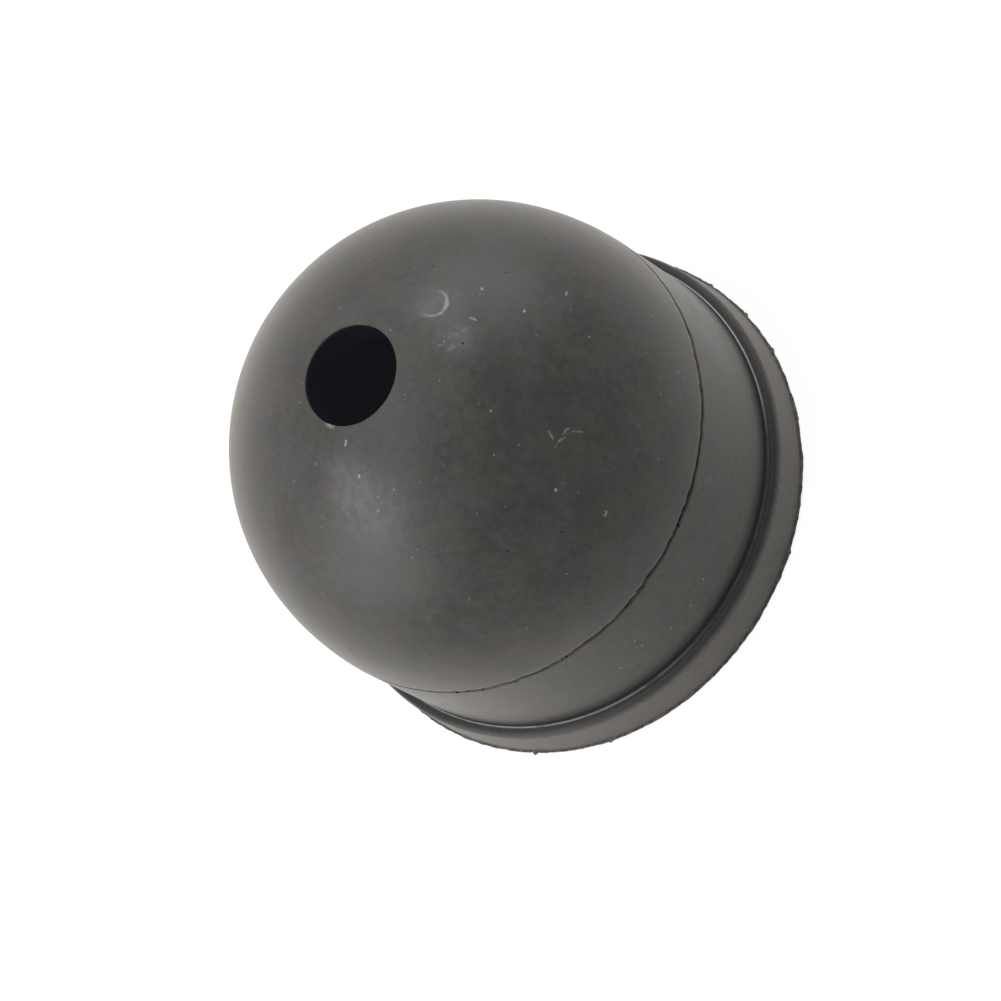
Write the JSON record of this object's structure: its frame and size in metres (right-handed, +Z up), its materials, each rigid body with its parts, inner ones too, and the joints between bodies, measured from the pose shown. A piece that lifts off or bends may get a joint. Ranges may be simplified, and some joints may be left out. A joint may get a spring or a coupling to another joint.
{
  "type": "case opening friction ball",
  "caption": "Hollow rubber friction ball for turning screwed watch case backs: a domed gripping face with an air hole in its crown, a short skirt and a flat flanged base.",
  "frame": {"origin": "middle of the flat underside of the base", "axes": "+Z up along the turning axis, out through the air hole in the crown; X and Y lie in the underside"},
  "size_m": [0.065, 0.065, 0.0522],
  "materials": {
    "dome_rubber": "satin moulded rubber with a faint bloom",
    "skirt_rubber": "satin moulded rubber",
    "base_rubber": "matte moulded rubber with a hand-trimmed edge"
  },
  "bodies": {
    "base": {"base_flange": "base_rubber", "skirt_shell": "skirt_rubber"},
    "dome": {"dome_shell": "dome_rubber"}
  },
  "joints": [
    {"name": "dome_press", "type": "slide", "parent": "base", "child": "dome", "axis": [0, 0, -1], "range_m": [0, 0.006], "stiffness_N_per_m": 4000, "deforming": ["skirt_shell"]}
  ]
}
